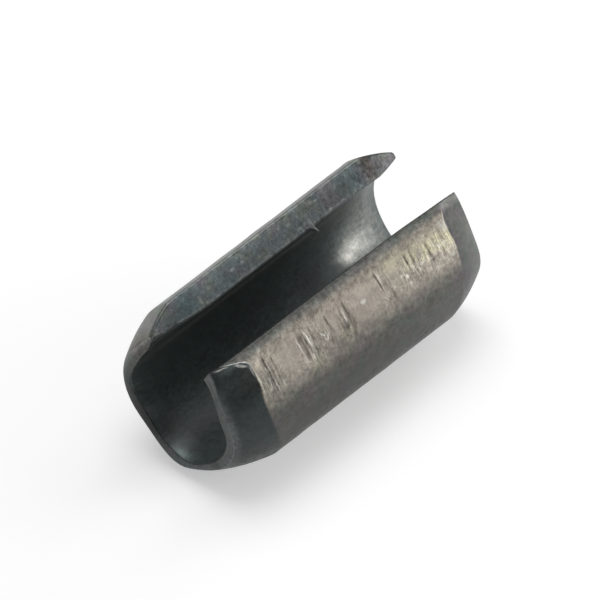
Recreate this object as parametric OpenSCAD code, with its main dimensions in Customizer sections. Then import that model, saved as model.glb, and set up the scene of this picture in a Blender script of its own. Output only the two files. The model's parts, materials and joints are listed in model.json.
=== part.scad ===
// Slotted spring pin: a strip of spring steel rolled into an open tube,
// with a rounded lead-in swaged on each end.
// The pin lies along X with its slot upward. The origin is on its axis, at mid-length.

/* [Pin] */
// Free outside diameter of the tube, before it is driven into its hole
outer_d = 8.5; // [6:0.1:14]
// Thickness of the strip
wall = 1.35; // [1:0.05:2.2]
// Length over both ends
length = 16.5; // [10:0.5:60]

/* [Slot] */
// Angle about the axis that the slot leaves open
slot_angle = 68; // [10:1:100]
// Width of the broken corners along both lips of the slot
lip_break = 0.08; // [0.02:0.01:0.2]

/* [Ends] */
// Length of the lead-in at each end
leadin_len = 2.05; // [0.8:0.05:3]
// How far the lead-in draws the outside in, measured on the radius
leadin_drop = 0.8; // [0.3:0.05:0.9]
// How far the lead-in bulges outside a straight cone
leadin_bulge = 0.09; // [0.02:0.01:0.2]
// Width of the flat rim left between the lead-in and the bore's mouth
rim_w = 0.35; // [0.1:0.05:0.4]
// Length over which the bore opens out to its mouth
mouth_len = 1.2; // [0.3:0.1:2]

/* [Hidden] */
$fn = 96;
// Overlap that lets a cutting shape pass clean through a surface
clear = 1;

outer_r = outer_d / 2;
bore_r = outer_r - wall;
half_len = length / 2;
// Radius where the lead-in ends, and where the bore's mouth ends
nose_r = outer_r - leadin_drop;
mouth_r = max(bore_r, nose_r - rim_w);

// The lead-in is an arc through its shoulder and its nose, seen in half section
// with the radius as x and the distance along the axis as y.
shoulder = [outer_r, half_len - leadin_len];
nose = [nose_r, half_len];
chord = norm(nose - shoulder);
crown_r = chord * chord / (8 * leadin_bulge) + leadin_bulge / 2;
inward = [shoulder.y - nose.y, nose.x - shoulder.x] / chord;
crown_centre = (shoulder + nose) / 2 + inward * (crown_r - leadin_bulge);

// Half section of the tube from its middle to one end
module half_section() {
    intersection() {
        polygon([
            [bore_r, 0], [outer_r, 0], shoulder, [outer_r, half_len],
            [mouth_r, half_len], [bore_r, half_len - mouth_len]
        ]);
        union() {
            square([2 * outer_r, shoulder.y]);
            translate(crown_centre) circle(r = crown_r);
        }
    }
}

// The whole tube with both ends formed, before the slot is opened, along Z
module closed_tube() {
    rotate_extrude() {
        half_section();
        mirror([0, 1]) half_section();
    }
}

// Cross-section of the open slot: a wedge from the axis, widened at each corner of the lips
module slot_section() {
    reach = outer_r + clear;
    half = slot_angle / 2;
    polygon([
        [0, 0],
        [reach * cos(half), -reach * sin(half)],
        [reach / cos(half) + clear, 0],
        [reach * cos(half), reach * sin(half)]
    ]);
    for (side = [-half, half], r = [bore_r, outer_r])
        rotate(side) translate([r, 0]) rotate(45)
            square(lip_break * sqrt(2), center = true);
}

module spring_pin() {
    color("darkgray")
        rotate([0, 90, 0])
            difference() {
                closed_tube();
                rotate(180)
                    linear_extrude(length + 2 * clear, center = true) slot_section();
            }
}

spring_pin();
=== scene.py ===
import json
import math

import bmesh
import bpy
from mathutils import Matrix, Vector, noise


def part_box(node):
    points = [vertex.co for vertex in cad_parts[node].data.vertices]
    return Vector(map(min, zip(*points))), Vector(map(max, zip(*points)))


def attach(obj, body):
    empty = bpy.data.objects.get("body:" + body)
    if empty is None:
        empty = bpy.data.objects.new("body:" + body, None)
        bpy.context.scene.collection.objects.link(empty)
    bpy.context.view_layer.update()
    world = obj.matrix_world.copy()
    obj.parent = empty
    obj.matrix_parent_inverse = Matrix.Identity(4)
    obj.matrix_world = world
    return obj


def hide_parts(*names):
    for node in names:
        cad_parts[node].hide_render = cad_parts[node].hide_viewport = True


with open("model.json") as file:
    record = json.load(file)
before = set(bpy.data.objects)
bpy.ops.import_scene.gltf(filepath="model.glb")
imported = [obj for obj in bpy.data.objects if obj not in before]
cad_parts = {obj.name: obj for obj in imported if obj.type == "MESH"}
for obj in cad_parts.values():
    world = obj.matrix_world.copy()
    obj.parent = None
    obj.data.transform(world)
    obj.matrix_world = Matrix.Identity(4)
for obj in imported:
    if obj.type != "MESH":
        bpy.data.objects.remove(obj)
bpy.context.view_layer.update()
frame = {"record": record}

mm = 0.001
mounts = {m["name"]: m["dims"] for m in frame["record"]["mounts"]}
low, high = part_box("spring_pin")
outerRadius = mounts["shank"]["r_mm"]  # everything on the pin is worked out in millimetres
boreRadius = mounts["bore"]["r_mm"]
halfLength = high.x / mm
print("frame loaded: pin", round(2 * outerRadius, 3), "x", round(2 * halfLength, 3), "mm")

# The pin lies along x. Directions about it are in degrees from the slot's middle, the near lip first.
tube = {
    "slotAngle": 68,  # degrees left open, the same as in the solid
    "shankSteps": 62,  # along the shank, before the finer steps that marks need
    "leadSteps": 22,  # along each lead-in
    "leadCrowding": 1.35,  # draws those steps towards the rim
    "roundSteps": 188,  # about the axis
    "wallSteps": 10,  # through the wall
    "firstStep": 0.02,  # the first and the last step of the shank keep its shoulders crisp
    "lastStep": 0.035,
    "closestStep": 0.018,  # no step along the shank is shorter
    "closestToEnd": 0.03,  # and none starts nearer to the far shoulder
    "markSide": 54,  # degrees where the steps are measured, as most tool marks are crossed there
    "markSteps": (-1.1, -0.7, -0.35, 0, 0.35, 0.7, 1.1),  # steps across a mark, in half-widths
    "markWaver": 0.02,
    "markDark": 0.01,  # a mark this deep is as dark as any
    "noseRadius": 3.45,
    "leadLength": 1.85,
    "shortestLead": 0.15,
    "leadStart": 0.6,  # slope at the shoulder as a share of the mean slope
    "shoulderWander": 0.05,
    "lipRound": 0.11,
    "farLipRound": 0.12,  # the far lip's outer edge is rubbed rounder
    "innerRoundShare": 0.8,  # and both inner edges are a little sharper
    "rimRound": 0.06,
    "rimRoundShare": 0.45,  # at most this much of a thin wall
    "thinnestRim": 0.09,
    "mouthLength": 1.2,
    "nearMouthCurve": 1.3,  # power by which the bore opens towards the rim
    "farMouthCurve": 1.2,
    "ripple": 0.012,  # slow unevenness of the rolled strip
    "rippleSink": 1.2,  # ripples that it lies below the outer radius
    "farLipOut": 1.5,  # degrees that the far lip leans out of the slot along the middle
    "farLipIn": 2.4,  # and into it at the far end
    "nearLipOut": 1.3,  # the near lip leans out of it at the far end
    "nearLipIn": 1.6,  # and into it at the near rim
}
wrapped = 360 - tube["slotAngle"]
nearLip = tube["slotAngle"] / 2
farLip = 360 - nearLip

# The swaging left the ends uneven. Each entry is (degrees, spread, amount in mm). A set moves the rim
# inwards, a nose widens it, a lead lengthens the lead-in, and a mouth opens the bore or does so sooner.
uneven = {
    "nearSet": [
        (180, 400, 0.09), (34, 12, 0.14), (76, 18, -0.08), (235, 45, 0.07), (252, 26, 0.1), (326, 16, 0.46),
    ],
    "farSet": [(68, 30, 0.34)],
    "nearNose": [
        (36, 13, 0.3), (64, 28, -0.24), (150, 26, -0.14), (188, 17, 0.27), (224, 14, -0.09), (252, 24, 0.22),
        (306, 16, -0.07),
    ],
    "farNose": [(108, 18, -0.03), (326, 30, 0.06)],
    "nearLead": [(33, 6, -1.5), (70, 30, -0.2), (134, 32, 0.85), (290, 30, 0.1), (325, 20, -0.14)],
    "farLead": [(36, 8, -0.3), (66, 14, -0.14), (122, 30, 0.42), (290, 40, -0.2)],
    "nearMouth": [
        (72, 20, -0.22), (178, 20, 0.27), (226, 12, -0.1), (261, 15, 0.28), (298, 12, -0.1), (327, 7, 0.36),
    ],
    "nearMouthLength": [(326, 10, 2.4)],
    "farMouth": [(180, 400, 0.4), (302, 28, -0.17)],
}

# Tool marks run round the shank: (x, drift in x, first degree, last degree, half-width, depth)
marks = [
    (-5.78, 0, 45, 62, 0.08, 0.011), (-5.35, 0, 48, 67, 0.08, 0.008), (-3.53, 0.06, 46, 65, 0.16, 0.01),
    (-3.3, 0, 48, 58, 0.06, 0.005), (-2.87, 0, 48, 57, 0.07, 0.008), (-1.84, 0.03, 48, 62, 0.08, 0.01),
    (-1.02, 0.1, 51, 67, 0.08, 0.008), (-0.65, 0, 48, 73, 0.09, 0.01), (1.6, 0, 45, 57, 0.07, 0.01),
    (1.86, 0.34, 53, 70, 0.1, 0.007), (3.44, 0, 47, 56, 0.06, 0.006), (3.8, 0, 48, 57, 0.06, 0.006),
    (4.76, 0.03, 49, 66, 0.08, 0.01),
]

# A curl left on the far lip's inner edge, which thins out round the bore and ends at its limit, in mm
burr = {"x": 2.68, "width": 0.09, "reach": 0.16, "limit": 0.6, "hang": 0.36, "lean": 0.26}


def smooth(a, b, v):
    # climbs gently from 0 at a to 1 at b
    t = min(1, max(0, (v - a) / (b - a)))
    return t * t * (3 - 2 * t)


def bell(away, width):
    # 1 in the middle, fading out over the width
    return math.exp(-((away / width) ** 2))


def lumps(name, degrees):
    return sum(amount * bell(degrees - middle, spread) for middle, spread, amount in uneven[name])


def ringAt(degrees):
    # everything about the ends that depends on the direction only
    near = {
        "end": -halfLength + lumps("nearSet", degrees),
        "lead": tube["leadLength"] + lumps("nearLead", degrees),
        "nose": tube["noseRadius"] + lumps("nearNose", degrees),
        "flare": lumps("nearMouth", degrees),
        "mouth": tube["mouthLength"] + lumps("nearMouthLength", degrees),
    }
    far = {
        "end": halfLength - lumps("farSet", degrees),
        "lead": tube["leadLength"] + lumps("farLead", degrees),
        "nose": tube["noseRadius"] + lumps("farNose", degrees),
        "flare": lumps("farMouth", degrees),
        "mouth": tube["mouthLength"],
    }
    near["lead"] += tube["shoulderWander"] * noise.noise(Vector((degrees * 0.08, 3.1, 0)))
    near["lead"] = max(tube["shortestLead"], near["lead"])
    far["lead"] += tube["shoulderWander"] * noise.noise(Vector((degrees * 0.08, 8.7, 0)))
    return near, far


def shankSpan(degrees):
    # x of the two shoulders
    near, far = ringAt(degrees)
    return near["end"] + near["lead"], far["end"] - far["lead"]


def stationList():
    # -1 to 0 is the near lead-in, 0 to 1 the shank, 1 to 2 the far lead-in
    lead = [(i / tube["leadSteps"]) ** tube["leadCrowding"] for i in range(tube["leadSteps"] + 1)]
    start, stop = shankSpan(tube["markSide"])
    places = [start + (stop - start) * i / tube["shankSteps"] for i in range(1, tube["shankSteps"])]
    places += [start + tube["firstStep"], stop - tube["lastStep"]]
    lipStart, lipStop = shankSpan(farLip)
    curlPlace = start + (burr["x"] - lipStart) / (lipStop - lipStart) * (stop - start)
    fineSpots = [(x, drift, width) for x, drift, _, _, width, _ in marks]
    fineSpots.append((curlPlace, 0, burr["width"] * 1.6))
    for x, drift, width in fineSpots:
        places = [p for p in places if abs(p - x) > width * 1.3]
        places += [x + drift / 2 + (width + abs(drift) / 2) * s for s in tube["markSteps"]]
    places.sort()
    kept = [start]
    for p in places:
        if p - kept[-1] > tube["closestStep"] and stop - p > tube["closestToEnd"]:
            kept.append(p)
    shank = [(p - start) / (stop - start) for p in kept[1:]]
    return [t - 1 for t in lead] + shank + [2 - t for t in reversed(lead)]


def turnList():
    # degrees from the near lip, close together at both lips for their rounded edges
    edge = [0, 0.5, 1.0, 1.5, 2.2, 3.2]
    inner = tube["roundSteps"] - 2 * (len(edge) - 1)
    step = (wrapped - 2 * edge[-1]) / inner
    middle = [edge[-1] + step * i for i in range(1, inner)]
    return edge + middle + [wrapped - e for e in reversed(edge)]


def wallList():
    # shares of the wall, from 0 in the bore to 1 outside
    cut = tube["lipRound"] / (outerRadius - boreRadius)
    rows = [0, cut * 0.5, cut, 2 * cut]
    inner = tube["wallSteps"] - 2 * (len(rows) - 1)
    middle = [2 * cut + (1 - 4 * cut) * i / inner for i in range(1, inner)]
    return rows + middle + [1 - r for r in reversed(rows)]


def pulled(a, b, size):
    # moves a point at distances a and b from two faces onto the round between them
    if a >= size or b >= size:
        return a, b
    da, db = size - a, size - b
    reach = math.hypot(da, db)
    if reach <= size:
        return a, b
    return size - da * size / reach, size - db * size / reach


def rounded(gap, r, inside, outside, depth, size):
    # the same at radius r, for a lip or rim that is a gap away and the nearer side of the wall
    if depth > 0.5:
        gap, under = pulled(gap, outside - r, size)
        return gap, outside - under
    gap, over = pulled(gap, r - inside, size)
    return gap, inside + over


def markAt(x, degrees):
    # (depth, darkness) of the tool marks at a point of the outside
    depth = dark = 0
    for place, drift, first, last, width, deep in marks:
        place += drift * (degrees - first) / (last - first)
        waver = tube["markWaver"] * noise.noise(Vector((degrees * 0.15, place, 0)))
        off = abs(x - place - waver) / width
        if off > 1:
            continue
        along = smooth(first - 1.5, first + 1.5, degrees) * (1 - smooth(last - 3, last + 2, degrees))
        shape = (1 - off * off) * along
        depth += deep * shape
        dark = max(dark, shape * min(1, deep / tube["markDark"]))
    return depth, dark


def rippleAt(x, degrees):
    p = Vector((x * 0.8, degrees * 0.045, 5))
    return tube["ripple"] * (noise.noise(p) + 0.5 * noise.noise(p * 2.3) + 0.3 * noise.noise(p * 5.1))


def leanAt(x, degrees, nearEnd):
    # degrees that a direction is turned by the lean of the lips
    swing = tube["farLipOut"] + tube["farLipIn"]
    far = -smooth(200, 320, degrees) ** 2 * (tube["farLipOut"] - swing * smooth(5.6, 8, x))
    near = tube["nearLipOut"] * smooth(3.5, 7, x)
    near -= tube["nearLipIn"] * (1 - smooth(nearEnd, nearEnd + 0.3, x))
    return far + (1 - smooth(nearLip, 48, degrees)) * near


# Patches of finish, and of painted light and shade, on the pin: (x, degrees, spread in x, spread in degrees,
# amount)
patches = {
    "wearOutside": [
        (0, 43, 40, 4, 0.3), (5.6, 56, 1.6, 12, 0.1), (-1.6, 67, 1.2, 7, -0.15), (-5.9, 58, 0.45, 9, -0.3),
        (6.2, 47, 0.35, 5, 0.3), (4.2, 52, 0.7, 9, -0.12), (0, 185, 7, 26, 0.5), (-3, 292, 4, 14, 0.35),
        (3, 140, 3, 12, 0.3), (5.5, 40, 1.8, 4, -0.08),
    ],
    "wearBore": [
        (5.7, 241, 0.85, 13, 0.46), (5.45, 233, 0.28, 5, 0.35), (6.9, 250, 1.3, 34, 0.42),
        (4.9, 243, 0.5, 9, 0.14), (4.95, 234, 0.35, 7, 0.2), (6.4, 229, 1.7, 6, 0.11),
    ],
    # painted light and shade on the outside: highlights where the amount is positive, shade where it is
    # negative
    "lightOutside": [
        (0, 38.3, 40, 2.6, 1.15), (0, 34, 40, 1.2, -0.2), (8, 60, 6, 60, 0.22), (0, 325, 12, 12, 1.9),
        (7.7, 62, 1, 14, 0.4), (8, 75, 1.2, 30, 0.5), (-2.5, 45, 3, 3, 0.14), (-6.3, 44, 0.6, 4, 0.25),
        (0, 57, 40, 5, -0.14), (-0.1, 63, 1.4, 8, -0.2), (-5.9, 65, 0.6, 12, -0.12), (5, 66, 1.9, 8, 0.14),
        (5.2, 43, 2, 3.5, -0.08), (-7.9, 38, 0.7, 3.2, -1.15), (-7.3, 48, 0.5, 6, 0.22),
        (6.8, 52, 0.5, 12, 0.2), (-7.5, 132, 1, 14, -0.18), (-6.6, 117, 0.8, 9, -0.2),
        (0, 112, 40, 8, -0.08), (1.8, 45, 0.7, 3, 0.2), (-5.9, 44, 0.6, 4, 0.18), (5.5, 44, 1, 4, -0.12),
        (-3.5, 53, 0.8, 6, -0.12), (-0.8, 60, 0.8, 5, -0.12), (-0.5, 73, 1, 5, -0.1),
        (-5.9, 69, 0.6, 6, -0.1), (4.5, 58.7, 1.5, 1.6, 0.2), (0, 86, 40, 6, 0.04), (0, 116, 40, 8, -0.18),
        (5.5, 96, 1.5, 10, 0.12), (-2, 118, 9, 26, -0.3), (-7.4, 320, 1, 18, 1.5), (0, 102, 40, 12, -0.08),
    ],
    # painted light and shade on the lip faces
    "lightLip": [
        (-6.4, 326, 0.5, 20, -0.16), (-5.2, 326, 0.5, 20, -0.08), (-3.9, 326, 0.8, 20, 0.06),
        (3.2, 326, 1.6, 20, -0.1), (5.2, 326, 0.6, 20, -0.2), (6.9, 326, 0.9, 20, 0.6),
        (7.9, 326, 0.7, 20, 0.6), (-7.5, 326, 0.5, 20, 0.2),
    ],
    # painted light and shade on the near rim
    "lightRim": [
        (-8, 142, 1, 14, -0.2), (-8, 219, 1, 20, -0.6), (-8, 250, 1, 30, -0.45), (-8, 110, 1, 50, -0.1),
        (-8, 318, 1, 22, 1.0),
    ],
    # painted light and shade in the bore
    "lightBore": [
        (7.2, 318, 1.0, 16, 0.8), (-1, 288, 6, 3.2, 1.5), (3.2, 286, 1, 4, 0.5), (-7.95, 176, 0.25, 7, 0.8),
        (-7.6, 214, 0.9, 15, -0.5), (-6, 195, 1.6, 14, -0.52), (-8, 187, 0.26, 9, 1.5),
        (-6.6, 178, 1.0, 12, -0.24), (3.2, 236, 1.1, 16, -0.46), (5.5, 258, 0.9, 8, 0.7),
    ],
    "brown": [
        (6.8, 326, 0.3, 8, 0.8), (-8, 318, 0.6, 22, 0.6), (-5.5, 326, 0.9, 10, 0.1), (-6.8, 52, 0.5, 7, 0.5),
        (-0.9, 46, 0.45, 5, 0.7), (7.8, 326, 0.6, 8, 0.2), (-3.5, 55, 0.35, 8, 0.4), (0.6, 52, 1.2, 8, 0.3),
        (-2, 80, 2, 6, 0.3), (-1, 286, 6, 6, 0.6), (5.8, 282, 1.4, 12, 0.5),
    ],
    "yellow": [
        (4.6, 53, 1.6, 6, 1.0), (5.8, 56, 0.8, 6, 0.6), (-6.2, 58, 0.8, 12, 0.3), (2.8, 46, 1.2, 4, 0.7),
        (-3.1, 70, 0.4, 4, 0.8), (-1.1, 66, 0.3, 5, 0.7), (7.2, 238, 0.6, 10, 0.9),
    ],
    "teal": [(-5.2, 326, 0.6, 20, 0.7), (-2.5, 326, 1.2, 20, 0.15), (5.9, 326, 0.4, 20, 0.35)],
    "scratched": [
        (-5.8, 60, 0.7, 12, 1.0), (-3.2, 60, 0.6, 14, 0.8), (-2.1, 61, 0.4, 7, 0.9), (-0.8, 62, 0.5, 12, 0.6),
        (1.9, 60, 0.4, 14, 0.4), (3.6, 59, 1.0, 7, 0.9), (5.4, 57, 1.0, 10, 0.8),
    ],
}

# How the pin is painted. Two numbers are where a change begins and where it is complete.
paint = {
    "bandStart": (37, 44.5),  # the band beside the near lip that is rubbed bright, in degrees
    "bandStop": (64, 90),
    "bandWear": 0.8,
    "nearSoot": 0.95,  # how dark each lead-in is: how thick the black finish lies, with painted shade on the near one
    "nearSootStop": (235, 300),
    "farSoot": 0.2,
    # painted light and shade on the rims, the lips, the lead-ins beside the far lip and in the bore, and a
    # painted glint
    "rimLight": 1.07,
    "rimContrast": 0.5,  # of the painted light and shade, between its inner and its outer edge
    "rimContrastMore": 0.4,  # added on the far lip's side
    "lipLight": 0.84,
    "lipOuterLight": 0.19,
    "lipInnerLight": 0.12,
    "lipCornerLight": 0.5,
    "farEdgeLight": 1.2,  # painted light on the lead-ins, beside the far lip
    "farEdgeWidth": 0.2,
    "boreEndLight": 0.6,
    "cornerGlint": 1.5,  # a painted glint at the near lip's corner
    "lipCoarse": 0.68,  # from 0, where the finish only lies there, to 1, where it was cut or rubbed
    "rimCoarse": 0.35,
    "boreCoarse": 0.12,
    "boreEndCoarse": 0.2,
    "shankCoarse": 0.2,
    "scratchedCoarse": 0.5,
    "boreEdge": 0.45,  # how bright the edges are, partly polish and partly a painted highlight
    "boreEdgeWidth": 0.1,
    "nearEdge": 0.05,
    "nearEdgeEnd": 0.3,
    "nearEdgeWidth": 0.06,
    "rimEdge": 0.3,
    "shoulderEdgeWidth": 0.06,
    "burrEdge": 0.8,
}


def patchAt(name, x, degrees):
    return sum(
        amount * math.exp(-(((x - placeX) / spreadX) ** 2) - ((degrees - placeTurn) / spreadTurn) ** 2)
        for placeX, placeTurn, spreadX, spreadTurn, amount in patches[name]
    )


def wearAt(x, degrees, depth, t):
    # how far the black finish is rubbed off
    if depth < 0.5:
        return patchAt("wearBore", x, degrees)
    band = smooth(*paint["bandStart"], degrees) * (1 - smooth(*paint["bandStop"], degrees))
    worn = band * paint["bandWear"] + patchAt("wearOutside", x, degrees)
    return worn * (1 - smooth(0, 0.06, t)) * smooth(0.85, 1, depth)


def blackFinishAndShadeAt(degrees, depth, t, isNear):
    # how dark the lead-ins are: how thick the black finish still lies, with painted shade on the near one
    thick = paint["nearSoot" if isNear else "farSoot"] * smooth(0, 0.05, t)
    if isNear:
        thick *= 1 - smooth(*paint["nearSootStop"], degrees)
    return thick * smooth(0.6, 1, depth)


def paintedLightAt(x, degrees, depth, t, lipGap, onRim, onLip):
    # painted light and shade, as a factor on the colour, where 1 is as its colours are written
    if onRim:
        spread = paint["rimContrast"] + paint["rimContrastMore"] * smooth(185, 215, degrees)
        across = paint["rimLight"] - spread / 2 + spread * smooth(0.42, 1, depth)
        return across * (1 + patchAt("lightRim", x, degrees))
    if onLip:
        across = paint["lipLight"] + paint["lipOuterLight"] * smooth(0.55, 0.85, depth)
        across += paint["lipInnerLight"] * smooth(0.3, 0.15, depth)
        across += paint["lipCornerLight"] * smooth(0.84, 0.97, depth) * (1 - smooth(0, 0.12, t))
        return across * (1 + patchAt("lightLip", x, degrees))
    if depth > 0.5:
        fade = bell(lipGap, paint["farEdgeWidth"]) * smooth(0, 0.1, t) if degrees > 180 else 0
        byEdge = paint["farEdgeLight"] * (1 + smooth(0.04, 0.16, lipGap))
        return (1 - fade) * (1 + patchAt("lightOutside", x, degrees)) + fade * byEdge
    return 1 + paint["boreEndLight"] * smooth(3.5, 7.5, x) + patchAt("lightBore", x, degrees)


def roughAt(x, degrees, depth, onRim, onLip):
    # how coarse the skin is
    if onLip:
        return paint["lipCoarse"]
    if onRim:
        return paint["rimCoarse"]
    if depth < 0.5:
        return paint["boreCoarse"] + paint["boreEndCoarse"] * smooth(3.5, 7, x)
    return min(1, paint["shankCoarse"] + paint["scratchedCoarse"] * patchAt("scratched", x, degrees))


def edgeAt(x, degrees, depth, t, lead, lipGap, onShank):
    # where an edge is lighter, partly polished bright by handling and partly a painted highlight
    byNearLip = degrees < 180
    bright = 0
    if depth < 0.12 and not byNearLip:
        bright = paint["boreEdge"] * (1 - 0.5 * smooth(5, 6.5, x)) * bell(lipGap, paint["boreEdgeWidth"])
    if depth > 0.9 and byNearLip:
        bright = paint["nearEdge"] + paint["nearEdgeEnd"] * smooth(-6.4, -7, x)
        bright *= bell(lipGap, paint["nearEdgeWidth"])
    if depth > 0.9 and byNearLip and x < 0 and not onShank:
        # the rim, and the shoulder where the dark lead-in runs out beside the lip, with a painted highlight
        # line
        rim = paint["rimEdge"] * smooth(0.8, 0.96, t) * smooth(46, 60, degrees)
        shoulder = bell(t * lead, paint["shoulderEdgeWidth"]) * (1 - smooth(43, 54, degrees))
        bright = max(bright, rim, shoulder)
    return bright


def sectionAt(station, near, far):
    # (x, radius of the bore, radius outside, how far along a lead-in it is, from 0 at the shoulder to 1)
    shoulderNear, shoulderFar = near["end"] + near["lead"], far["end"] - far["lead"]
    t, drop = 0, 0
    if station < 0:
        t, drop = -station, outerRadius - near["nose"]
        x = shoulderNear - t * near["lead"]
    elif station > 1:
        t, drop = station - 1, outerRadius - far["nose"]
        x = shoulderFar + t * far["lead"]
    else:
        x = shoulderNear + station * (shoulderFar - shoulderNear)
    a = tube["leadStart"]
    outside = outerRadius - drop * (a * t + (1 - a) * t * t)
    inside = boreRadius
    fromNear = 1 - (x - near["end"]) / near["mouth"]
    fromFar = 1 - (far["end"] - x) / far["mouth"]
    if fromNear > 0:
        inside += near["flare"] * fromNear ** tube["nearMouthCurve"]
    if fromFar > 0:
        inside += far["flare"] * fromFar ** tube["farMouthCurve"]
    return x, min(inside, outside - tube["thinnestRim"]), outside, t


def pointAt(station, depth, turn, near, far):
    # where a point of the pin lies, with what its paint depends on
    degrees = nearLip + turn
    total = math.radians(wrapped)
    x, inside, outside, t = sectionAt(station, near, far)
    lean = leanAt(x, degrees, near["end"])
    wall = outside - inside
    dark = curl = 0
    if depth > 0.5:
        deep, dark = markAt(x, degrees) if t == 0 else (0, 0)
        outside -= deep + max(0, rippleAt(x, degrees) + tube["ripple"] * tube["rippleSink"]) * (1 - t)
    toFarLip = math.radians(farLip - degrees) * boreRadius
    if toFarLip < burr["limit"]:
        away = ((x - burr["x"]) / burr["width"]) ** 2 + (toFarLip / burr["reach"]) ** 2
        curl = math.exp(-away) * (1 - depth) ** 2
        inside -= burr["hang"] * curl
    r = inside + depth * (outside - inside)
    arc, whole = math.radians(turn) * r, total * r
    byNearLip = arc < whole / 2
    lipGap = min(arc, whole - arc)
    if depth > 0.5:
        lipRound = tube["lipRound" if byNearLip else "farLipRound"]
    else:
        lipRound = tube["lipRound"] * tube["innerRoundShare"]
    fromLip, r = rounded(lipGap, r, inside, outside, depth, lipRound)
    isNear = x - near["end"] < far["end"] - x
    fromEnd = min(x - near["end"], far["end"] - x)
    rimRound = min(tube["rimRound"], wall * tube["rimRoundShare"])
    fromEnd, r = rounded(fromEnd, r, inside, outside, depth, rimRound)
    x = near["end"] + fromEnd if isNear else far["end"] - fromEnd
    x += burr["lean"] * curl ** 2
    angle = fromLip / r if byNearLip else total - fromLip / r
    angle += math.radians(nearLip + lean)
    place = Vector((x, -r * math.sin(angle), r * math.cos(angle))) * mm
    spot = {"x": x, "t": t, "wall": wall, "lipGap": lipGap, "isNear": isNear, "mark": dark, "curl": curl}
    return place, spot


def paintAt(spot, station, depth, degrees, lead, onRim, onLip):
    x, t, lipGap = spot["x"], spot["t"], spot["lipGap"]
    light = paintedLightAt(x, degrees, depth, t, lipGap, onRim, onLip)
    # a painted glint along the near shoulder, beside the near lip
    if station == 0 and depth > 0.9:
        light *= 1 + paint["cornerGlint"] * (1 - smooth(44, 54, degrees))
    edge = edgeAt(x, degrees, depth, t, lead, lipGap, 0 < station < 1)
    return {
        "wear": wearAt(x, degrees, depth, t),
        "soot": blackFinishAndShadeAt(degrees, depth, t, spot["isNear"]),
        "edge": max(edge, paint["burrEdge"] * spot["curl"]),
        "mark": spot["mark"],
        "light": light,
        "bore": 0 if onRim else 1 - smooth(0, 0.15, depth),
        "cut": 1 if onRim or onLip else 0.5 * smooth(300, 316, degrees),
        "brown": patchAt("brown", x, degrees),
        "yellow": patchAt("yellow", x, degrees),
        "teal": patchAt("teal", x, degrees),
        "scratched": patchAt("scratched", x, degrees) if depth > 0.9 else 0,
        "rough": roughAt(x, degrees, depth, onRim, onLip),
    }


coats = (
    "wear", "soot", "edge", "mark", "light", "bore", "cut", "brown", "yellow", "teal", "scratched", "rough",
)
hub = 10  # keeps the strip clear of the axis while it is spun


def spunStrip(stations, turns, walls):
    # a grid with one unit to a step, where x counts stations and z counts rows of the wall, spun round x
    bm = bmesh.new()
    bmesh.ops.create_grid(bm, x_segments=len(stations) - 1, y_segments=len(walls) - 1, size=1)
    for v in bm.verts:
        i = round((v.co.x + 1) / 2 * (len(stations) - 1))
        j = round((v.co.y + 1) / 2 * (len(walls) - 1))
        v.co = Vector((i, 0, j + hub))
    bmesh.ops.spin(
        bm, geom=bm.verts[:] + bm.edges[:] + bm.faces[:], axis=(1, 0, 0), cent=(0, 0, 0), dvec=(0, 0, 0),
        angle=math.radians(wrapped), steps=len(turns) - 1, use_merge=False, use_duplicate=False,
    )
    print("pin spun:", len(stations), "stations,", len(turns), "turns,", len(bm.faces), "faces")
    return bm


def buildPin():
    stations, turns, walls = stationList(), turnList(), wallList()
    bm = spunStrip(stations, turns, walls)
    rings = [ringAt(nearLip + turn) for turn in turns]
    stepAngle = math.radians(wrapped) / (len(turns) - 1)
    layers = {name: bm.verts.layers.float.new(name) for name in coats}
    skin = bm.verts.layers.float_vector.new("skin")
    for v in bm.verts:
        i = round(v.co.x)
        j = round(math.hypot(v.co.y, v.co.z)) - hub
        k = round((math.atan2(-v.co.y, v.co.z) % (2 * math.pi)) / stepAngle) % len(turns)
        station, depth, turn = stations[i], walls[j], turns[k]
        near, far = rings[k]
        v.co, spot = pointAt(station, depth, turn, near, far)
        onRim = i in (0, len(stations) - 1)
        onLip = k in (0, len(turns) - 1) and 0.05 < depth < 0.95
        coat = paintAt(spot, station, depth, nearLip + turn, near["lead"], onRim, onLip)
        for name, amount in coat.items():
            v[layers[name]] = amount
        v[skin] = Vector((spot["x"], math.radians(turn) * outerRadius, depth * spot["wall"]))
    bmesh.ops.recalc_face_normals(bm, faces=bm.faces)
    mesh = bpy.data.meshes.new("pinShell")
    bm.to_mesh(mesh)
    bm.free()
    piece = bpy.data.objects.new("pinShell", mesh)
    bpy.context.scene.collection.objects.link(piece)
    for p in mesh.polygons:
        p.use_smooth = True
    return piece


pin = buildPin()
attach(pin, "root")
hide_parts("spring_pin")
print("pin shaped and painted")

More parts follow.
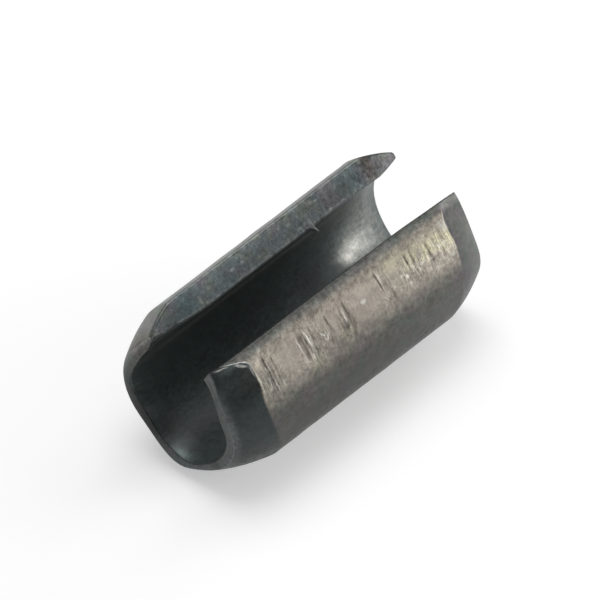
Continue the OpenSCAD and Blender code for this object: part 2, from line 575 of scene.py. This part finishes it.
finish = {
    "oxide": (0.1, 0.098, 0.09),  # thin black finish over steel
    "oxideGreen": (0.09, 0.1, 0.09),
    "oxidePurple": (0.103, 0.094, 0.097),
    "cut": (0.09, 0.104, 0.106),  # sheared faces: the lips and the rims
    "cutGreen": (0.1, 0.11, 0.1),
    "cutPurple": (0.104, 0.102, 0.108),
    "cutTeal": (0.068, 0.104, 0.116),
    "soot": (0.0325, 0.043, 0.043),  # where the finish lies thick, with painted shade on the near lead-in
    "sootBrown": (0.048, 0.045, 0.044),
    "bore": (0.068, 0.084, 0.082),
    "brown": (0.082, 0.072, 0.064),
    "worn": (0.27, 0.245, 0.21),
    "wornYellow": (0.31, 0.295, 0.205),
    "wornBrown": (0.3, 0.245, 0.22),
    "wornBore": (0.41, 0.4, 0.37),
    "edge": (0.26, 0.275, 0.27),
    # light scratches, and the painted highlights at the near lip's corner
    "scratchLight": (0.58, 0.58, 0.54),
    "scratchDark": (0.1, 0.087, 0.076),
    "wornMetal": 0.95,  # metallic where the steel is bare or only thinly covered
    "coveredMetal": 0.25,
    "contrast": 0.11,  # of the mottling on a smooth skin, and what a coarse one adds
    "coarseContrast": 0.36,
    "scratchContrast": 3.2,
    "raggedness": 0.26,  # of the borders of the wear
    "dullness": (0.36, 0.5),  # the least and the most roughness
    "bumpHeight": 0.05,  # mm
    "bumpStrength": 0.5,
}

# Scratches and specks in the finish, the first two painted highlights at the near lip's corner: (x, degrees,
# width, length, lean, amount).
# A dark one has a negative amount.
strokes = [
    # the first two are painted highlights: a line along the near lip's edge and a streak at its corner
    (-7.65, 36, 0.08, 0.75, 74, 0.8), (-6.78, 41.5, 0.15, 0.75, 53, 1), (-6.5, 49, 0.1, 0.8, 0, 0.7),
    (-6.4, 55, 0.16, 1.3, 0, 0.25), (-6.15, 60, 0.06, 1.1, 2, 0.4), (-5.93, 62, 0.07, 0.8, 0, 0.45),
    (-5.64, 65, 0.07, 0.8, 4, 0.5), (-5.25, 66, 0.07, 0.7, 0, 0.4), (-3.7, 55, 0.11, 0.9, 0, 0.4),
    (-3.1, 53.5, 0.12, 1.15, 4, 0.75), (-3.22, 67, 0.1, 0.8, 0, 0.45), (-3.05, 66, 0.08, 0.7, 0, 0.4),
    (-3.72, 63, 0.26, 0.5, 0, 0.3), (-2.31, 57, 0.12, 0.4, 40, 0.5), (-2.1, 60, 0.12, 0.4, -40, 0.5),
    (-0.84, 56, 0.1, 0.9, 0, 0.35), (1.73, 49, 0.12, 0.9, 0, 0.5), (1.6, 63, 0.1, 0.6, 30, 0.4),
    (0.44, 56, 0.4, 0.3, 0, 0.4), (3.16, 60, 0.22, 0.3, 20, 0.9), (3.2, 65, 0.26, 0.2, 0, 0.6),
    (2.87, 58, 0.16, 0.18, 0, 0.5), (3.66, 57.5, 0.2, 0.14, 0, 0.4), (4.2, 59, 0.5, 0.14, 0, 0.45),
    (4.78, 60, 0.3, 0.2, 0, 0.3), (5.42, 57, 0.24, 0.26, 0, 0.5), (5.74, 57, 0.24, 0.3, 0, 0.5),
    (5.92, 67, 0.24, 0.26, 0, 0.45), (4.88, 69, 0.1, 0.5, -35, 0.4), (6.1, 48, 0.5, 0.7, 20, 0.4),
    (-1.9, 64, 0.36, 0.75, 10, -0.6), (-2.28, 65, 0.16, 0.24, 0, -0.5), (-0.73, 74, 0.24, 0.24, 0, -0.55),
    (1.76, 66, 0.28, 0.34, 0, -0.5), (4.81, 42, 0.16, 0.18, 0, -0.6), (5.1, 47, 0.2, 0.24, 0, -0.5),
    (2.95, 60, 0.12, 0.26, 10, -0.5), (3.36, 60, 0.14, 0.24, 0, -0.45), (0.2, 87, 0.26, 0.2, 0, -0.4),
    (-2.6, 63, 0.12, 0.5, 30, -0.35), (-2.45, 56, 0.1, 0.3, -30, -0.3), (-0.75, 93, 0.2, 0.14, 0, -0.35),
    (-5.33, 57, 0.13, 1.3, 3, -0.5), (-2.86, 52, 0.13, 0.9, 0, -0.5), (-3.48, 54, 0.16, 1.2, 3, -0.3),
    (-1.84, 56, 0.12, 1.0, 2, -0.35), (-5.78, 54, 0.12, 1.1, 2, -0.3), (-0.66, 58, 0.12, 1.2, 2, -0.3),
]

# Light flecks on the far lip: (x, mm out from the bore, width, height, amount)
flecks = [
    (-2.15, 0.72, 0.36, 0.18, 0.2), (-1.5, 0.72, 0.24, 0.16, 0.16), (-4.4, 0.45, 0.2, 0.45, 0.14),
    (-3.75, 0.72, 0.3, 0.2, 0.12), (-3.3, 0.66, 0.24, 0.18, 0.12), (1.05, 0.95, 0.26, 0.2, 0.1),
    (4.0, 0.2, 0.36, 0.1, 0.24), (4.8, 0.2, 0.3, 0.1, 0.18), (3.5, 0.95, 0.3, 0.13, 0.13),
    (-7.6, 0.6, 0.3, 0.3, 0.15), (1.6, 0.8, 0.3, 0.25, 0.12), (2.06, 0.33, 0.4, 0.2, 0.14),
    (2.4, 0.36, 0.2, 0.2, 0.1), (3.2, 1.02, 0.3, 0.22, 0.14),
]


def makeSteel():
    mat = bpy.data.materials.new("blackenedSteel")
    mat.use_nodes = True
    tree = mat.node_tree
    nodes, links = tree.nodes, tree.links
    bsdf = nodes["Principled BSDF"]

    def add(kind, **settings):
        n = nodes.new("ShaderNode" + kind)
        for key, value in settings.items():
            setattr(n, key, value)
        return n

    def feed(socket, value):
        if isinstance(value, bpy.types.NodeSocket):
            links.new(value, socket)
        elif isinstance(value, tuple) and len(value) == 3 and len(socket.default_value) == 4:
            socket.default_value = (*value, 1)
        else:
            socket.default_value = value

    def attribute(name, output="Fac"):
        return add("Attribute", attribute_name=name).outputs[output]

    def calc(operation, a, b, clamp=False):
        n = add("Math", operation=operation, use_clamp=clamp)
        feed(n.inputs[0], a)
        feed(n.inputs[1], b)
        return n.outputs[0]

    def rise(value, start, stop, low=0.0, high=1.0):
        n = add("MapRange", interpolation_type="SMOOTHSTEP")
        for socket, item in zip(n.inputs, (value, start, stop, low, high)):
            feed(socket, item)
        return n.outputs[0]

    def cloud(vector, scale, detail, roughness=0.55):
        n = add("TexNoise")
        feed(n.inputs["Vector"], vector)
        feed(n.inputs["Scale"], scale)
        feed(n.inputs["Detail"], detail)
        feed(n.inputs["Roughness"], roughness)
        return n.outputs["Fac"]

    def blend(factor, a, b, kind="MIX"):
        n = add("Mix", data_type="RGBA", blend_type=kind)
        feed(n.inputs["Factor"], factor)
        feed(n.inputs[6], a)
        feed(n.inputs[7], b)
        return n.outputs[2]

    def moved(vector, offset, scale=(1, 1, 1)):
        n = add("Mapping")
        feed(n.inputs["Vector"], vector)
        feed(n.inputs["Location"], offset)
        feed(n.inputs["Scale"], scale)
        return n.outputs[0]

    def shift(vector, amount, scale):
        # wanders a little, so that no stroke is ruler-straight
        n = add("TexNoise")
        feed(n.inputs["Vector"], vector)
        feed(n.inputs["Scale"], scale)
        centred = add("VectorMath", operation="SUBTRACT")
        feed(centred.inputs[0], n.outputs["Color"])
        feed(centred.inputs[1], (0.5, 0.5, 0.5))
        pushed = add("VectorMath", operation="MULTIPLY_ADD")
        for socket, item in zip(pushed.inputs, (centred.outputs[0], amount, vector)):
            feed(socket, item)
        return pushed.outputs[0]

    def stroke(vector, place, size, lean=0):
        # 1 on a small ellipsoid, fading out at its edge
        n = add("Mapping", vector_type="TEXTURE")
        feed(n.inputs["Vector"], vector)
        feed(n.inputs["Location"], place)
        feed(n.inputs["Rotation"], (0, 0, -math.radians(lean)))
        feed(n.inputs["Scale"], size)
        away = add("VectorMath", operation="LENGTH")
        feed(away.inputs[0], n.outputs[0])
        return rise(away.outputs["Value"], 1.15, 0.35)

    skin = attribute("skin", "Vector")
    wear, soot, edge, mark, light, bore, cut, brown, yellow, teal, scratched, rough = map(attribute, coats)

    broad = cloud(skin, scale=0.7, detail=2)
    tint = cloud(moved(skin, (7, 2, 0)), scale=1.3, detail=2)
    hue = cloud(moved(skin, (1, 5, 0)), scale=1.1, detail=2)
    patchy = cloud(skin, scale=2.2, detail=3, roughness=0.6)
    mottle = cloud(moved(skin, (2, 4, 1)), scale=4.2, detail=2.5, roughness=0.6)
    fleck = cloud(moved(skin, (3, 9, 0)), scale=6.5, detail=1, roughness=0.5)
    grain = cloud(skin, scale=14, detail=2, roughness=0.6)
    combed = moved(shift(skin, (0.15, 0, 0), 1.5), (0, 0, 0), scale=(6.5, 0.8, 1))
    streak = cloud(combed, scale=1.4, detail=3, roughness=0.6)

    # the colours under the wear
    oxide = blend(rise(tint, 0.48, 0.64), finish["oxide"], finish["oxideGreen"])
    oxide = blend(rise(hue, 0.52, 0.66), oxide, finish["oxidePurple"])
    sheared = blend(rise(tint, 0.42, 0.62), finish["cut"], finish["cutGreen"])
    sheared = blend(rise(hue, 0.5, 0.62), sheared, finish["cutPurple"])
    sheared = blend(teal, sheared, finish["cutTeal"])
    oxide = blend(cut, oxide, sheared)
    oxide = blend(bore, oxide, finish["bore"])
    oxide = blend(calc("MINIMUM", brown, 1.0), oxide, finish["brown"])

    # bare steel, and what lies over both
    yellowed = calc("MULTIPLY", yellow, rise(patchy, 0.3, 0.6), clamp=True)
    browned = calc("MULTIPLY", brown, rise(hue, 0.3, 0.6), clamp=True)
    worn = blend(yellowed, finish["worn"], finish["wornYellow"])
    worn = blend(browned, worn, finish["wornBrown"])
    worn = blend(bore, worn, finish["wornBore"])
    blackAndShadedColor = blend(calc("MULTIPLY", brown, 1.4, clamp=True), finish["soot"], finish["sootBrown"])
    patchiness = calc("MULTIPLY", calc("SUBTRACT", patchy, 0.5), finish["raggedness"])
    streakiness = calc("MULTIPLY", calc("SUBTRACT", streak, 0.5), finish["raggedness"])
    ragged = calc("ADD", patchiness, streakiness)
    bare = rise(calc("ADD", wear, ragged), 0.05, 1.0)
    # polished edges and painted edge highlights
    polishAndHighlight = calc("MULTIPLY", edge, rise(mottle, 0.3, 0.65, 0.8, 1.05), clamp=True)
    color = blend(bare, oxide, worn)
    # the black finish on the lead-ins, with painted shade on the near one
    color = blend(soot, color, blackAndShadedColor)
    color = blend(polishAndHighlight, color, finish["edge"])

    # lighter and darker, from the broad clouds down to the specks
    contrast = calc("ADD", finish["contrast"], calc("MULTIPLY", rough, finish["coarseContrast"]))
    tone = calc("ADD", 1.0, calc("MULTIPLY", rise(mottle, 0.3, 0.7, -1, 1), contrast))
    tone = calc("MULTIPLY", tone, rise(patchy, 0.3, 0.7, 0.9, 1.1))
    tone = calc("MULTIPLY", tone, rise(broad, 0.3, 0.7, 0.92, 1.08))
    tone = calc("MULTIPLY", tone, rise(grain, 0.3, 0.7, 0.92, 1.08))
    spots = calc("SUBTRACT", rise(fleck, 0.6, 0.72), calc("MULTIPLY", rise(fleck, 0.38, 0.27), 0.5))
    tone = calc("MULTIPLY", tone, calc("ADD", 1.0, calc("MULTIPLY", spots, calc("MULTIPLY", rough, 0.5))))
    lineContrast = calc("MULTIPLY", scratched, finish["scratchContrast"])
    lines = calc("MULTIPLY", calc("SUBTRACT", streak, 0.5), lineContrast)
    tone = calc("MULTIPLY", tone, calc("ADD", 1.0, lines))
    # painted light and shade, laid onto the colour
    tone = calc("MULTIPLY", tone, light)
    shade = add("CombineColor")
    for socket in shade.inputs:
        feed(socket, tone)
    color = blend(1.0, color, shade.outputs[0], "MULTIPLY")

    # scratches, specks and flecks, and the two painted highlights
    wandering = shift(skin, (0.12, 0.1, 0), 4)
    bright, dark = 0.0, mark
    for x, degrees, width, length, lean, amount in strokes:
        place = (x, math.radians(degrees - nearLip) * outerRadius, outerRadius - boreRadius)
        one = stroke(wandering, place, (width / 2, length / 2, 1), lean)
        one = calc("MULTIPLY", one, abs(amount))
        if amount > 0:
            bright = calc("MAXIMUM", one, bright)
        else:
            dark = calc("MAXIMUM", one, dark)
    for x, out, width, height, amount in flecks:
        place = (x, math.radians(wrapped) * outerRadius, out)
        one = calc("MULTIPLY", stroke(wandering, place, (width / 2, 0.3, height / 2)), amount)
        bright = calc("MAXIMUM", one, bright)
    darkShare = calc("MULTIPLY", dark, rise(mottle, 0.3, 0.6, 0.9, 0.6))
    brightShare = calc("MULTIPLY", bright, rise(mottle, 0.3, 0.6, 0.6, 1.0))
    color = blend(darkShare, color, finish["scratchDark"])
    color = blend(brightShare, color, finish["scratchLight"])
    feed(bsdf.inputs["Base Color"], color)

    covered = calc("MAXIMUM", calc("MULTIPLY", soot, 0.6), bore)
    covered = calc("MULTIPLY", covered, calc("SUBTRACT", 1.0, bare))
    feed(bsdf.inputs["Metallic"], rise(covered, 0, 1, finish["wornMetal"], finish["coveredMetal"]))
    dull = rise(mottle, 0.3, 0.7, *finish["dullness"])
    feed(bsdf.inputs["Roughness"], calc("ADD", dull, calc("MULTIPLY", bare, -0.05)))

    relief = calc("ADD", calc("MULTIPLY", mottle, 0.8), calc("MULTIPLY", fleck, 0.5))
    relief = calc("MULTIPLY", relief, calc("ADD", 0.15, rough))
    relief = calc("ADD", relief, calc("MULTIPLY", grain, 0.12))
    combing = calc("MULTIPLY", streak, calc("ADD", scratched, 0.2))
    relief = calc("ADD", relief, calc("MULTIPLY", combing, 0.8))
    relief = calc("SUBTRACT", relief, calc("MULTIPLY", dark, 0.18))
    bump = add("Bump")
    feed(bump.inputs["Strength"], finish["bumpStrength"])
    feed(bump.inputs["Distance"], finish["bumpHeight"] * mm)
    feed(bump.inputs["Height"], relief)
    feed(bsdf.inputs["Normal"], bump.outputs[0])
    return mat


pin.data.materials.append(makeSteel())
print("steel finish made")

studio = {
    "floorSize": 3.0,
    "floorColor": (0.8, 0.8, 0.8, 1),
    "floorGlow": 0.42,  # seen by the camera and in reflections only
    "roomLight": 0.25,
    "lamps": {  # place in metres, size, power
        "sideLight": ((0.24, -0.27, 0.1), (0.25, 0.2), 0.38),
        "backLight": ((0.38, 0.0, 0.14), (0.2, 0.2), 0.45),
        "topLight": ((0.05, 0.05, 0.45), (0.35, 0.35), 0.9),
    },
}


def makePaper():
    mat = bpy.data.materials.new("paperWhite")
    mat.use_nodes = True
    nodes, links = mat.node_tree.nodes, mat.node_tree.links
    nodes.clear()
    out = nodes.new("ShaderNodeOutputMaterial")
    diffuse = nodes.new("ShaderNodeBsdfDiffuse")
    diffuse.inputs["Color"].default_value = studio["floorColor"]
    glow = nodes.new("ShaderNodeEmission")
    both = nodes.new("ShaderNodeAddShader")
    path = nodes.new("ShaderNodeLightPath")
    seenOrMirrored = nodes.new("ShaderNodeMath")
    seenOrMirrored.operation = "MAXIMUM"
    anyOfThree = nodes.new("ShaderNodeMath")
    anyOfThree.operation = "MAXIMUM"
    strength = nodes.new("ShaderNodeMath")
    strength.operation = "MULTIPLY"
    strength.inputs[1].default_value = studio["floorGlow"]
    links.new(path.outputs["Is Camera Ray"], seenOrMirrored.inputs[0])
    links.new(path.outputs["Is Glossy Ray"], seenOrMirrored.inputs[1])
    links.new(seenOrMirrored.outputs[0], anyOfThree.inputs[0])
    links.new(path.outputs["Is Transmission Ray"], anyOfThree.inputs[1])
    links.new(anyOfThree.outputs[0], strength.inputs[0])
    links.new(strength.outputs[0], glow.inputs["Strength"])
    links.new(diffuse.outputs[0], both.inputs[0])
    links.new(glow.outputs[0], both.inputs[1])
    links.new(both.outputs[0], out.inputs["Surface"])
    return mat


def buildFloor():
    mesh = bpy.data.meshes.new("floor")
    bm = bmesh.new()
    bmesh.ops.create_grid(bm, x_segments=1, y_segments=1, size=studio["floorSize"])
    bmesh.ops.translate(bm, vec=(0, 0, low.z), verts=bm.verts)
    bm.to_mesh(mesh)
    bm.free()
    floor = bpy.data.objects.new("floor", mesh)
    bpy.context.scene.collection.objects.link(floor)
    mesh.materials.append(makePaper())


def areaLight(name, place, size, power):
    data = bpy.data.lights.new(name, "AREA")
    data.shape = "RECTANGLE"
    data.size, data.size_y = size
    data.energy = power
    lamp = bpy.data.objects.new(name, data)
    bpy.context.scene.collection.objects.link(lamp)
    lamp.location = place
    lamp.rotation_euler = (-Vector(place)).to_track_quat("-Z", "Y").to_euler()
    lamp.visible_camera = False


def lightRoom():
    world = bpy.data.worlds.new("studio")
    bpy.context.scene.world = world
    world.use_nodes = True
    room = world.node_tree.nodes["Background"]
    room.inputs["Color"].default_value = (1, 1, 1, 1)
    room.inputs["Strength"].default_value = studio["roomLight"]


buildFloor()
for name, (place, size, power) in studio["lamps"].items():
    areaLight(name, place, size, power)
lightRoom()
print("floor and lights placed")

view = {
    "axisTilt": 58.67,  # degrees between the line of sight and the pin's axis
    "slotTurn": 39,  # how far the slot's middle is turned away from the viewer
    "lean": 37.4,  # slope of the pin's axis as the camera sees it
    "fieldWidth": 27.0,  # mm seen across at the pin
    "distance": 1200,
    "sensorWidth": 36,
    "shiftAlong": 0.26,  # the pin sits a little off the middle
    "shiftAcross": -0.555,
}


def placeCamera():
    tilt, turn, lean = (math.radians(view[k]) for k in ("axisTilt", "slotTurn", "lean"))
    axis = Vector((1, 0, 0))
    facing = Vector((0, -math.sin(turn), math.cos(turn)))
    toCamera = -math.cos(tilt) * axis + math.sin(tilt) * facing
    along = math.sin(tilt) * axis + math.cos(tilt) * facing
    across = axis.cross(facing)
    right = math.cos(lean) * along + math.sin(lean) * across
    up = math.sin(lean) * along - math.cos(lean) * across
    aim = (view["shiftAlong"] * along + view["shiftAcross"] * across) * mm
    data = bpy.data.cameras.new("camera")
    camera = bpy.data.objects.new("camera", data)
    bpy.context.scene.collection.objects.link(camera)
    data.sensor_width = view["sensorWidth"]
    data.lens = view["sensorWidth"] * view["distance"] / view["fieldWidth"]
    data.clip_start, data.clip_end = 0.05, 12
    place = aim + toCamera * view["distance"] * mm
    turned = Matrix((right, up, toCamera)).transposed().to_4x4()
    camera.matrix_world = Matrix.Translation(place) @ turned
    bpy.context.scene.camera = camera


placeCamera()
bpy.context.scene.view_settings.view_transform = "Standard"
print("camera placed")
